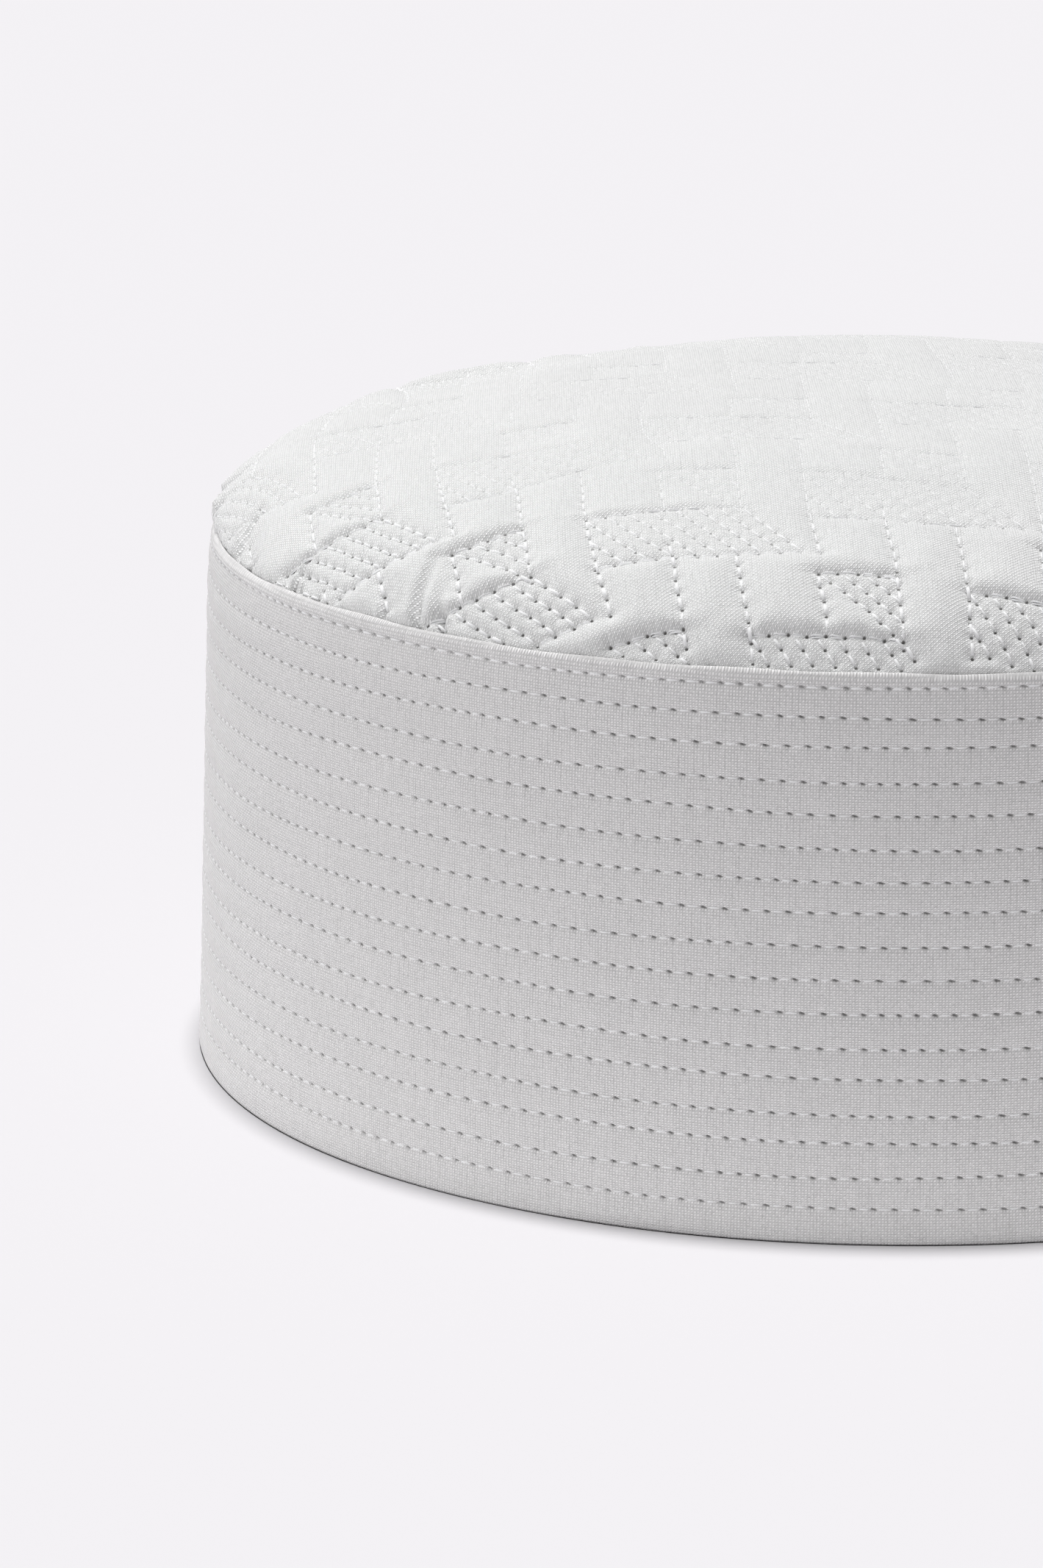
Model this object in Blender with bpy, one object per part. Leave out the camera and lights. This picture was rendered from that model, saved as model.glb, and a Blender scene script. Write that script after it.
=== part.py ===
"""A stitched prayer cap: an upright oval band, and a low quilted crown gathered into the band's top seam.

Metres, +Z up. The origin is on the floor, in the middle of the band. The wearer's front faces -Y.
"""

import math

import bmesh
import bpy
from mathutils import Vector

# Band
BAND_WIDTH = 0.1850
BAND_DEPTH = 0.1940
BAND_HEIGHT = 0.0705
BAND_LEAN = 0.0020
OUTER_CLOTH = 0.0008
INNER_CLOTH = 0.0008
FOOT_FLAT = 0.0012

# Top seam, where the crown's gathered edge is caught between the band's two cloths
SEAM_EDGE = 0.0008
SEAM_DEPTH = 0.0060
CLEARANCE = 0.0003

# Crown
CROWN_RISE = 0.0200
CROWN_CLOTH = 0.0020
CROWN_SWELL = 0.0050
FOLD_DEPTH = 0.0020
FOLD_LENGTH = 0.0160
DENT_DEPTH = 0.0016

# How high the cloth rises beside a fold, as a share of the fold's depth
RIDGE_SHARE = 0.35

# Facets
BAND_SIDES = 72
CROWN_SIDES = 144
ROUND_STEPS = 2

# Sections of the crown from its middle to its edge.
# Columns: reach, a share of the way from the middle to the seam; rise, a share of CROWN_RISE.
CROWN_SECTIONS = (
    (0.10, 0.998),
    (0.22, 0.985),
    (0.34, 0.965),
    (0.44, 0.935),
    (0.53, 0.890),
    (0.62, 0.800),
    (0.71, 0.705),
    (0.79, 0.610),
    (0.855, 0.510),
    (0.905, 0.400),
    (0.940, 0.295),
    (0.965, 0.190),
    (0.985, 0.085),
)

# Gathering folds that run up from the seam.
# Columns: bearing in degrees from the front, positive towards +X; lean, the degrees by which the fold's upper
# end lies further round; width in degrees; depth, a share of FOLD_DEPTH; length, a share of FOLD_LENGTH.
FOLDS = (
    (-42.5, -4.0, 6.0, 1.00, 1.00),
    (-60.0, -5.0, 6.0, 0.75, 0.65),
    (-75.0, -5.0, 6.5, 0.75, 0.70),
    (-95.0, 2.0, 7.0, 0.60, 0.75),
    (-117.5, 4.0, 7.0, 0.80, 0.90),
    (-140.0, 4.0, 6.5, 0.70, 0.70),
    (-165.0, 2.0, 7.0, 0.60, 0.75),
    (172.5, -2.0, 7.0, 0.55, 0.70),
    (147.5, -4.0, 7.0, 0.75, 0.85),
    (122.5, -4.0, 6.5, 0.70, 0.75),
    (100.0, -2.0, 7.0, 0.70, 0.70),
    (77.5, 4.0, 6.5, 0.60, 0.80),
    (57.5, 4.0, 6.5, 0.75, 0.75),
    (40.0, 4.0, 6.0, 0.90, 0.95),
)

# Soft dents in the top.
# Columns: across and along, shares of the crown's half width and half depth; size, a share of the half
# width; depth, a share of DENT_DEPTH.
DENTS = (
    (-0.54, -0.24, 0.13, 0.8),
    (-0.33, -0.33, 0.12, 0.9),
    (-0.14, -0.31, 0.13, 0.8),
    (0.12, -0.26, 0.15, 1.0),
    (0.38, -0.34, 0.13, 0.8),
    (0.56, -0.12, 0.14, 0.7),
    (0.30, 0.20, 0.16, 0.8),
    (-0.06, 0.32, 0.15, 0.9),
    (-0.40, 0.18, 0.15, 0.8),
    (-0.08, 0.00, 0.14, 0.6),
    (0.22, 0.56, 0.13, 0.7),
    (-0.34, 0.54, 0.14, 0.7),
)

COTTON = (0.80, 0.80, 0.81, 1.0)
QUILTED_COTTON = (0.84, 0.84, 0.86, 1.0)

# Worked out from the sizes above
SEAM_WIDTH = SEAM_EDGE + 2 * CLEARANCE
WALL = OUTER_CLOTH + SEAM_WIDTH + INNER_CLOTH
SEAM_FLOOR = BAND_HEIGHT - SEAM_DEPTH - CLEARANCE
EDGE_INSET = OUTER_CLOTH + CLEARANCE
CROWN_HALF_WIDTH = BAND_WIDTH / 2 - BAND_LEAN - EDGE_INSET
CROWN_HALF_DEPTH = BAND_DEPTH / 2 - BAND_LEAN - EDGE_INSET


def clear_scene():
    for old in list(bpy.data.objects):
        bpy.data.objects.remove(old, do_unlink=True)


def smooth_step(share):
    share = min(max(share, 0.0), 1.0)
    return share * share * (3 - 2 * share)


def bell(distance, width):
    """1 in the middle, 0 beyond half the width on each side."""
    return smooth_step(1 - 2 * abs(distance) / width)


def on_band(bearing, inset, height):
    """The point this far inside the band's outer face, at this height."""
    lean = BAND_LEAN * height / BAND_HEIGHT
    across = BAND_WIDTH / 2 - lean - inset
    along = BAND_DEPTH / 2 - lean - inset
    return Vector((across * math.sin(bearing), -along * math.cos(bearing), height))


def fold_over(inset, thickness, height):
    """A rounded fold in section: points over the top of a cloth of this thickness, from outside to inside."""
    radius = thickness / 2
    points = []
    for step in range(2 * ROUND_STEPS + 1):
        turn = math.pi * step / (2 * ROUND_STEPS)
        points.append((inset + radius - radius * math.cos(turn), height - radius + radius * math.sin(turn)))
    return points


def foot_round(inset, towards, side):
    """A quarter round under the wall, in section, between its face at inset and its flat foot."""
    radius = (WALL - FOOT_FLAT) / 2
    points = []
    for step in range(ROUND_STEPS + 1):
        turn = math.pi / 2 * step / ROUND_STEPS
        points.append((inset + towards * radius * (1 - math.sin(turn)), radius * (1 - math.cos(turn))))
    return points if side == "outer" else points[::-1]


def band_section():
    """The wall in section, once round: up its outer face, through the seam slot, down its inner face."""
    slot_outer = OUTER_CLOTH
    slot_inner = OUTER_CLOTH + SEAM_WIDTH
    section = foot_round(0.0, 1, "outer")
    section.append((0.0, BAND_HEIGHT / 2))
    section += fold_over(0.0, OUTER_CLOTH, BAND_HEIGHT)
    section.append((slot_outer, SEAM_FLOOR))
    section.append((slot_inner, SEAM_FLOOR))
    section += fold_over(slot_inner, INNER_CLOTH, BAND_HEIGHT)
    section.append((WALL, BAND_HEIGHT / 2))
    section += foot_round(WALL, -1, "inner")
    return section


def relief(bearing, reach, drop):
    """How far the folds and dents push the crown in at this place, where drop is the way up from the seam."""
    inward = 0.0
    for fold_bearing, lean, width, depth, length in FOLDS:
        along = drop / (length * FOLD_LENGTH)
        turn = (math.degrees(bearing) - fold_bearing - lean * along + 180) % 360 - 180
        run = smooth_step(5 * along) * (1 - smooth_step(along))
        ridge = RIDGE_SHARE * bell(abs(turn) - width, 1.5 * width)
        inward += depth * FOLD_DEPTH * run * (bell(turn, 1.5 * width) - ridge)
    across = reach * math.sin(bearing)
    back = -reach * math.cos(bearing)
    for dent_across, dent_along, size, depth in DENTS:
        distance = math.hypot(across - dent_across, back - dent_along)
        inward += depth * DENT_DEPTH * bell(distance, 2 * size)
    return inward


def crown_curve():
    """The sections as (reach, height, way up from the seam, outward lean of the surface), middle to edge."""
    rows = [(reach, BAND_HEIGHT + rise * CROWN_RISE) for reach, rise in CROWN_SECTIONS]
    rows.append((1.0, BAND_HEIGHT))
    before = [(0.0, BAND_HEIGHT + CROWN_RISE)] + rows[:-1]
    after = rows[1:] + [(1.0, BAND_HEIGHT - SEAM_DEPTH)]
    curve = []
    drop = 0.0
    for (reach, height), low, high in reversed(list(zip(rows, before, after))):
        slope = Vector(((high[0] - low[0]) * CROWN_HALF_WIDTH, high[1] - low[1])).normalized()
        if curve:
            outer = curve[0]
            drop += math.hypot((outer[0] - reach) * CROWN_HALF_WIDTH, outer[1] - height)
        curve.insert(0, (reach, height, drop, Vector((-slope.y, slope.x))))
    return curve


def crown_point(bearing, row, underside):
    """A point of the crown's top, or of its underside a cloth's thickness below."""
    reach, height, drop, normal = row
    sink = relief(bearing, reach, drop)
    if underside:
        sink += SEAM_EDGE + (CROWN_CLOTH - SEAM_EDGE) * smooth_step(drop / CROWN_SWELL)
    across = reach * CROWN_HALF_WIDTH - normal.x * sink
    along = reach * CROWN_HALF_DEPTH - normal.x * sink
    return Vector((across * math.sin(bearing), -along * math.cos(bearing), height - normal.y * sink))


def bearings(sides):
    return [2 * math.pi * side / sides - math.pi for side in range(sides)]


def add_ring(mesh, points):
    return [mesh.verts.new(point) for point in points]


def bridge(mesh, first, second):
    count = len(first)
    for side in range(count):
        after = (side + 1) % count
        mesh.faces.new((first[side], first[after], second[after], second[side]))


def close_with_fan(mesh, ring, middle, facing_up):
    top = mesh.verts.new(middle)
    count = len(ring)
    for side in range(count):
        pair = (ring[side], ring[(side + 1) % count])
        mesh.faces.new((top, *pair) if facing_up else (top, *pair[::-1]))


def cloth_material(name, colour, roughness):
    material = bpy.data.materials.new(name)
    material.use_nodes = True
    shader = material.node_tree.nodes["Principled BSDF"]
    shader.inputs["Base Color"].default_value = colour
    shader.inputs["Roughness"].default_value = roughness
    shader.inputs["Metallic"].default_value = 0.0
    material.diffuse_color = colour
    return material


def add_piece(name, mesh, material):
    data = bpy.data.meshes.new(name)
    bmesh.ops.recalc_face_normals(mesh, faces=mesh.faces)
    mesh.to_mesh(data)
    mesh.free()
    data.materials.append(material)
    data.shade_smooth()
    data.set_sharp_from_angle(angle=math.radians(50))
    piece = bpy.data.objects.new(name, data)
    bpy.context.scene.collection.objects.link(piece)
    return piece


def make_band():
    mesh = bmesh.new()
    around = bearings(BAND_SIDES)
    rings = []
    for inset, height in band_section():
        rings.append(add_ring(mesh, [on_band(bearing, inset, height) for bearing in around]))
    for first, second in zip(rings, rings[1:] + rings[:1]):
        bridge(mesh, first, second)
    return add_piece("band", mesh, cloth_material("white_cotton", COTTON, 0.9))


def make_crown():
    mesh = bmesh.new()
    around = bearings(CROWN_SIDES)
    curve = crown_curve()
    hidden_edge = BAND_HEIGHT - SEAM_DEPTH
    rings = [add_ring(mesh, [crown_point(bearing, row, False) for bearing in around]) for row in curve]
    for inset in (EDGE_INSET, EDGE_INSET + SEAM_EDGE):
        rings.append(add_ring(mesh, [on_band(bearing, inset, hidden_edge) for bearing in around]))
    # The underside keeps every other ring, from the seam back to the middle
    for row in curve[::-2]:
        rings.append(add_ring(mesh, [crown_point(bearing, row, True) for bearing in around]))
    for first, second in zip(rings, rings[1:]):
        bridge(mesh, first, second)
    summit = BAND_HEIGHT + CROWN_RISE - relief(0.0, 0.0, CROWN_HALF_WIDTH)
    close_with_fan(mesh, rings[0], Vector((0, 0, summit)), True)
    close_with_fan(mesh, rings[-1], Vector((0, 0, summit - CROWN_CLOTH)), False)
    return add_piece("crown", mesh, cloth_material("quilted_white_cotton", QUILTED_COTTON, 0.9))


clear_scene()
make_band()
make_crown()
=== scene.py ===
"""A white stitched prayer cap: a band of sewn rows, a quilted crown and their stitches.

Metres, +Z up. The wearer's front faces -Y. Bearings run round the cap from the front, positive towards +X.
"""

import math

import bpy
import numpy as np
from bpy.props import FloatProperty, FloatVectorProperty, IntProperty, PointerProperty
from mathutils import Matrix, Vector, kdtree
from mathutils.geometry import delaunay_2d_cdt


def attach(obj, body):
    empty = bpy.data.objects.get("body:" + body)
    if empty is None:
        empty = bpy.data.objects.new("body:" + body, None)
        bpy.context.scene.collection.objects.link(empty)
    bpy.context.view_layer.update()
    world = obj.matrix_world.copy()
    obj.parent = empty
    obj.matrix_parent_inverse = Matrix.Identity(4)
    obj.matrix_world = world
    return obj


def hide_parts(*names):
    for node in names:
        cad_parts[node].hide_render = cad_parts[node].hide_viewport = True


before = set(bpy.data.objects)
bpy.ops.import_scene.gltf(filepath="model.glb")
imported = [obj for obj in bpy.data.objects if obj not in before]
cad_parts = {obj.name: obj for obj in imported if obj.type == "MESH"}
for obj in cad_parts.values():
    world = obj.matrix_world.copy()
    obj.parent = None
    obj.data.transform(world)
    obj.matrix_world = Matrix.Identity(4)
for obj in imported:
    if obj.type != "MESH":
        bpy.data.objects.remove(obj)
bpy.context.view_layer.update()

bl_info = {
    "name": "Stitched prayer cap",
    "version": (1, 0, 0),
    "blender": (4, 5, 0),
    "location": "3D View > Sidebar > Cap",
    "description": "Dresses the packed cap with its sewn band, quilted crown and stitches",
    "category": "Object",
}

MM = 0.001

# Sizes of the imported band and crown
BAND_WIDTH = 0.1850
BAND_DEPTH = 0.1940
BAND_HEIGHT = 0.0705
BAND_LEAN = 0.0020
OUTER_CLOTH = 0.0008
INNER_CLOTH = 0.0008
WALL = 0.0030
FOOT_ROUND = 0.0003
SLOT_INNER = WALL - INNER_CLOTH
SLOT_FLOOR = 0.0642
EDGE_INSET = 0.0011
CROWN_EDGE = 0.0008
CROWN_CLOTH = 0.0020
CROWN_SWELL = 0.0050
CROWN_RISE = 0.0200
HIDDEN_EDGE = 0.0645
HALF_WIDTH = BAND_WIDTH / 2 - BAND_LEAN - EDGE_INSET
HALF_DEPTH = BAND_DEPTH / 2 - BAND_LEAN - EDGE_INSET
FOLD_DEPTH = 0.0020
FOLD_LENGTH = 0.0160
DENT_DEPTH = 0.0016
RIDGE_SHARE = 0.35

# The outer cloth's rolled fold at the top of the band, from its front round to its back.
# Columns: inset and height in mm.
FOLD_SECTION = (
    (0.34, 69.78),
    (0.36, 70.06),
    (0.42, 70.38),
    (0.53, 70.68),
    (0.68, 70.93),
    (0.86, 71.11),
    (1.03, 71.19),
    (1.18, 71.17),
    (1.29, 71.05),
    (1.33, 70.86),
    (1.25, 70.60),
    (1.00, 70.30),
)

# How far the band's outer cloth leans in below that fold
TOP_LEAN = 0.0003

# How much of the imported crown's soft gathers shows between the narrow creases
GATHER_SHARE = 0.3

# How far the padded crown swells out over the band's edge at its sides and back, and how far up it does
SIDE_FULLNESS = 0.0022
SIDE_FULLNESS_LENGTH = 0.0320

# Sections of the crown. Columns: reach, a share of the way to the seam; rise, a share of CROWN_RISE.
CROWN_SECTIONS = (
    (0.10, 0.998),
    (0.22, 0.985),
    (0.34, 0.965),
    (0.44, 0.935),
    (0.53, 0.890),
    (0.62, 0.800),
    (0.71, 0.705),
    (0.79, 0.610),
    (0.855, 0.510),
    (0.905, 0.400),
    (0.940, 0.295),
    (0.965, 0.190),
    (0.985, 0.085),
)

# Gathering folds. Columns: bearing, lean and width in degrees; depth and length, shares of the fold sizes.
FOLDS = (
    (-42.5, -4.0, 6.0, 1.00, 1.00),
    (-60.0, -5.0, 6.0, 0.75, 0.65),
    (-75.0, -5.0, 6.5, 0.75, 0.70),
    (-95.0, 2.0, 7.0, 0.60, 0.75),
    (-117.5, 4.0, 7.0, 0.80, 0.90),
    (-140.0, 4.0, 6.5, 0.70, 0.70),
    (-165.0, 2.0, 7.0, 0.60, 0.75),
    (172.5, -2.0, 7.0, 0.55, 0.70),
    (147.5, -4.0, 7.0, 0.75, 0.85),
    (122.5, -4.0, 6.5, 0.70, 0.75),
    (100.0, -2.0, 7.0, 0.70, 0.70),
    (77.5, 4.0, 6.5, 0.60, 0.80),
    (57.5, 4.0, 6.5, 0.75, 0.75),
    (40.0, 4.0, 6.0, 0.90, 0.95),
)

# Soft dents in the top. Columns: across, along, size, depth, as shares.
DENTS = (
    (-0.54, -0.24, 0.13, 0.8),
    (-0.33, -0.33, 0.12, 0.9),
    (-0.14, -0.31, 0.13, 0.8),
    (0.12, -0.26, 0.15, 1.0),
    (0.38, -0.34, 0.13, 0.8),
    (0.56, -0.12, 0.14, 0.7),
    (0.30, 0.20, 0.16, 0.8),
    (-0.06, 0.32, 0.15, 0.9),
    (-0.40, 0.18, 0.15, 0.8),
    (-0.08, 0.00, 0.14, 0.6),
    (0.22, 0.56, 0.13, 0.7),
    (-0.34, 0.54, 0.14, 0.7),
)

# Stitched rows round the band, in mm above the floor, and the mean gap between them
ROW_HEIGHTS = (
    *(4.6, 8.5, 12.7, 16.6, 20.8, 24.9, 29.3, 33.1),
    *(37.5, 41.5, 45.7, 49.6, 54.0, 57.9, 62.2, 65.9, 69.55),
)
ROW_STITCHES = 224
ROW_GAP = 4.1

# Way round the band at half its height, in mm
BAND_LENGTH = 589.0

# The band's mesh: its rings between two stitched rows, in mm from the nearer row, and its columns between
# two needle holes, as shares of a stitch
RING_STEPS = (0.24, 0.9)
COLUMN_STEPS = (0.0, 0.18, 0.82)

# Half the length and half the width of the painted shade inside a needle hole on the band, in mm
ROW_HOLE_SHADE = (0.42, 0.17)

# Creases and puckers at the seam, in the folds and between them. Columns: bearing at the seam and lean in
# degrees; length, width and depth in mm; how high the cloth stands beside it, in mm.
CREASES = (
    (-43.4, -3.7, 16.0, 0.7, 0.7, 0.5),
    (-43.4, -3.7, 13.0, 0.25, 0.4, 0.0),
    (-40.8, -2.4, 8.0, 0.6, 0.7, 0.5),
    (-40.8, -2.4, 6.5, 0.25, 0.4, 0.0),
    (-47.2, -1.8, 5.0, 0.45, 0.9, 0.5),
    (-60.5, -2.0, 9.0, 0.5, 1.3, 0.8),
    (-70.0, 0.5, 3.5, 0.6, 0.7, 0.3),
    (-74.0, -5.5, 11.0, 1.1, 1.7, 0.8),
    (-86.0, -2.0, 6.0, 1.0, 0.9, 0.4),
    (-95.5, 2.0, 8.0, 1.1, 1.2, 0.5),
    (-108.0, 1.0, 5.0, 0.9, 0.8, 0.4),
    (-117.0, 4.0, 11.0, 1.0, 1.5, 0.7),
    (-129.0, 2.0, 4.5, 0.9, 0.8, 0.4),
    (-139.5, 4.0, 8.0, 1.0, 1.3, 0.6),
    (-152.0, 1.0, 5.0, 0.9, 0.9, 0.4),
    (-164.5, 2.0, 9.0, 1.1, 1.3, 0.6),
    (-177.0, 0.0, 4.5, 0.9, 0.8, 0.4),
    (172.0, -2.0, 8.0, 1.0, 1.2, 0.5),
    (160.0, -1.0, 5.0, 0.9, 0.9, 0.4),
    (147.0, -4.0, 10.0, 1.0, 1.5, 0.7),
    (134.0, -2.0, 4.5, 0.8, 0.8, 0.4),
    (122.0, -4.0, 8.0, 1.0, 1.3, 0.6),
    (111.0, -1.0, 4.5, 0.9, 0.8, 0.4),
    (99.5, -2.0, 8.0, 1.1, 1.2, 0.5),
    (88.0, 2.0, 5.0, 0.9, 0.9, 0.4),
    (77.0, 4.0, 9.0, 1.0, 1.3, 0.6),
    (67.0, 1.0, 4.0, 0.8, 0.8, 0.3),
    (57.0, 4.0, 8.0, 0.9, 1.4, 0.6),
    (45.5, 2.0, 5.0, 0.8, 0.9, 0.4),
    (39.5, 4.0, 13.0, 1.0, 1.6, 0.8),
)

# The crown's cloth laid flat, in mm: from its middle to the seam at the sides
FLAT_RADIUS = 94.28

# Its quilting, in mm on the flat cloth: one cell's corner, the two steps to the next cells, and the cell's
# lines from its corner: a tall trapezoid patch, the straight lines through its corners, and a small
# three-cornered patch above it
CELL_CORNER = (-41.0, -60.0)
CELL_ACROSS = (28.5, 6.5)
CELL_DOWN = (18.0, -32.0)
PATCH_WIDTH = 20.0
PATCH_HEIGHT = 12.8
SMALL_PATCH_CORNER = (10.2, 10.5)
DOUBLE_LINES = (
    ((0.0, 0.0), (20.0, -2.5)),
    ((0.0, -12.8), (13.0, -14.9), (26.5, -15.8)),
    (SMALL_PATCH_CORNER, (20.0, 9.0)),
)
SINGLE_LINES = (
    ((20.0, -2.5), (26.5, -15.5)),
    ((0.0, 17.0), (0.0, 0.0), (0.5, -23.0)),
    ((20.0, 28.0), (20.0, -2.5)),
    (SMALL_PATCH_CORNER, (10.2, -1.2)),
)

# The slanted lines that fill the patches: how far apart, and how far across they go for each step up
FILL_STEP = 2.85
FILL_SLANT = 6.5 / 13.0

# How much longer the stitches of the single lines are than the others
LONG_STITCH = 1.2

# How the crown's cloth lies round its stitching, in mm: how far from a line the plain cloth and the patches
# swell, how far a needle hole draws them down, and the width of its dimple and of the painted shade inside it
PUFF_REACH = 3.0
PATCH_REACH = 0.6
HOLE_REACH = 0.9
DIMPLE_WIDTH = 0.3
CROWN_HOLE = 0.34

# How far the stitched lines and the edge at the seam lie below the smooth crown
LINE_SINK = 0.0003
EDGE_SINK = 0.0003

# Steps of the even grids that fill the meshes of the crown's top and its underside, in mm
TOP_GRID = 0.9
UNDERSIDE_GRID = 1.9

# How the sewn and gathered cloth is pulled out of its even pattern. Columns, in mm: place on the flat cloth,
# across and along; how far the lines there are moved, across and along.
PULLS = (
    (-76, -33, 0.0, -9.0),
    (-76, -43, 2.0, -9.5),
    (-68, -40, 0.0, -6.5),
    (-67, -51, 2.0, -8.5),
    (-60, -50, -0.5, -6.0),
    (-60, -66, 2.2, -5.0),
    (-60, -56, 2.0, -4.0),
    (-50, -69, 2.0, -4.7),
    (-49, -58, 0.5, 1.0),
    (-50, -82, 3.2, -2.2),
    (-43, -82, 1.8, -0.8),
    (-40, -88, 2.2, 2.0),
    (-31, -89, 2.5, 2.2),
    (-31, -77, 2.4, 1.4),
    (-41, -61, 0.0, 1.0),
    (-41, -73, 0.0, 0.4),
    (-20, -64, 0.3, 0.6),
    (-14, -76, 0.0, -0.3),
    (-31, -51, 0.0, 4.0),
    (-21, -53, 0.0, 4.0),
    (-12, -55, -0.4, 2.8),
    (-12, -68, -0.8, 2.2),
    (8, -57, 0.2, -0.8),
    (14, -70, 0.0, 1.0),
    (-23, -77, 0.7, 0.6),
    (-23, -92, 1.6, 1.4),
    (-13, -81, 1.0, 1.3),
    (-3, -83, 0.5, 1.6),
    (-12, -93, 1.4, 1.2),
    (-3, -95, 0.6, 1.0),
    (5, -86, 0.7, 0.0),
    (-58, -29, -1.0, -1.0),
    (-50, -19, -2.0, -1.5),
    (-40, -22, -3.0, 0.0),
    (45, -60, 1.5, -2.0),
    (70, -35, -2.0, 1.5),
    (80, 10, 1.0, 2.5),
    (55, 50, -2.0, -2.0),
    (10, 75, 2.0, 2.0),
    (-40, 65, -1.5, -2.5),
    (-75, 25, 2.0, 1.5),
    (20, 10, 1.5, -1.0),
)
PULL_REACH = 7.0

# Where the thread of a stitch shows between its two holes, as shares, and how far the two threads of a double
# line lie from its middle, in mm
BAND_THREAD = (0.30, 0.92)
TOP_ROW_THREAD = (0.18, 0.92)
CROWN_THREAD = (0.2, 0.9)
DOUBLE_OFFSET = 0.16

# Lamps on the cap, and the one on the floor. Columns: name, the direction that it shines from, strength, and
# spread in degrees.
CAP_LAMPS = (
    ("key", (-0.05, 0.42, 1.0), 2.55, 45.0),
    ("front_key", (-0.1, -0.35, 1.0), 0.5, 40.0),
    ("left_window", (-1.0, 0.02, 0.06), 1.32, 45.0),
)
FLOOR_LAMPS = (("floor_lamp", (0.0, 0.045, 1.0), 18.75, 8.4),)
SKY_STRENGTH = 0.26
BOUNCE_WIDTH = 0.32
BOUNCE_POWER = 0.063
FLOOR_SIZE = 16.0

# The camera: its lens in mm, its place, and how far it looks down in degrees
CAMERA_LENS = 141.92
CAMERA_PLACE = (-0.0483, -0.8192, 0.2354)
CAMERA_FALL = 13.778


def smooth_step(share):
    share = np.clip(share, 0.0, 1.0)
    return share * share * (3 - 2 * share)


def bell(distance, width):
    """1 in the middle, 0 beyond half the width on each side."""
    return smooth_step(1 - 2 * np.abs(distance) / width)


def on_band(bearing, inset, height):
    """Points this far inside the band's outer face, at these heights."""
    lean = BAND_LEAN * height / BAND_HEIGHT
    across = BAND_WIDTH / 2 - lean - inset
    along = BAND_DEPTH / 2 - lean - inset
    return np.stack((across * np.sin(bearing), -along * np.cos(bearing), height + 0 * bearing), axis=-1)


def crown_profile():
    """Fine sections of the crown, middle to edge: arc length, distance out, height and the outward lean."""
    rows = ((0.0, 1.0), *CROWN_SECTIONS, (1.0, 0.0))
    knots = [(reach * HALF_WIDTH, BAND_HEIGHT + rise * CROWN_RISE) for reach, rise in rows]
    knots = np.array([(-knots[1][0], knots[1][1]), *knots, (HALF_WIDTH, HIDDEN_EDGE)])
    points = []
    for first, start, end, last in zip(knots, knots[1:], knots[2:], knots[3:]):
        for share in np.arange(0.0, 1.0, 0.05):
            bend = (2 * first - 5 * start + 4 * end - last) * share**2
            twist = (3 * start - first - 3 * end + last) * share**3
            points.append(0.5 * (2 * start + (end - first) * share + bend + twist))
    points.append(knots[-2])
    points = np.array(points)
    slope = np.gradient(points, axis=0)
    slope /= np.linalg.norm(slope, axis=1)[:, None]
    arc = np.concatenate(([0.0], np.cumsum(np.linalg.norm(np.diff(points, axis=0), axis=1))))
    return arc, points[:, 0], points[:, 1], -slope[:, 1], slope[:, 0]


PROFILE = crown_profile()


def crown_frame(flat):
    """Where points of the flat cloth lie on the smooth crown: place, lean, bearing, reach and drop."""
    arc, out, height, lean_out, lean_up = PROFILE
    across = flat[:, 0]
    along = -flat[:, 1] * HALF_WIDTH / HALF_DEPTH
    bearing = np.arctan2(across, along)
    way = np.hypot(across, along) / FLAT_RADIUS * arc[-1]
    sin, cos = np.sin(bearing), np.cos(bearing)
    reach = np.interp(way, arc, out)
    up = np.interp(way, arc, height)
    normal_out = np.interp(way, arc, lean_out)
    normal_up = np.interp(way, arc, lean_up)
    place = np.stack((reach * sin, -reach * HALF_DEPTH / HALF_WIDTH * cos, up), axis=1)
    lean = np.stack((normal_out * sin, -normal_out * cos, normal_up), axis=1)
    return place, lean, bearing, reach / HALF_WIDTH, arc[-1] - way


def gathers(bearing, reach, drop):
    """How far the folds and dents push the crown in."""
    inward = np.zeros(len(bearing))
    degrees = np.degrees(bearing)
    for fold_bearing, lean, width, depth, length in FOLDS:
        along = drop / (length * FOLD_LENGTH)
        turn = (degrees - fold_bearing - lean * along + 180) % 360 - 180
        run = smooth_step(5 * along) * (1 - smooth_step(along))
        ridge = RIDGE_SHARE * bell(np.abs(turn) - width, 1.5 * width)
        inward += depth * FOLD_DEPTH * run * (bell(turn, 1.5 * width) - ridge)
    across = reach * np.sin(bearing)
    back = -reach * np.cos(bearing)
    for dent_across, dent_along, size, depth in DENTS:
        distance = np.hypot(across - dent_across, back - dent_along)
        inward += depth * DENT_DEPTH * bell(distance, 2 * size)
    return inward


def side_fullness(bearing, drop):
    """How far the padded crown swells out at its sides and back, close to the seam."""
    behind = smooth_step((0.3 - np.cos(bearing)) / 0.3)
    swell = smooth_step(drop / (1.8 * MM)) * (1 - smooth_step(drop / SIDE_FULLNESS_LENGTH))
    return SIDE_FULLNESS * behind * swell


def small_puckers():
    """Short puckers all round the seam, as rows like those of CREASES."""
    random = np.random.default_rng(21)
    rows = []
    for number in range(90):
        bearing = number * 4.0 - 180 + random.uniform(-1.6, 1.6)
        depth = random.uniform(0.08, 0.35)
        lean = random.uniform(-1, 1)
        length = random.uniform(1.6, 4.0)
        width = random.uniform(0.45, 0.8)
        rows.append((bearing, lean, length, width, depth, 0.4 * depth))
    return rows


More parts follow.
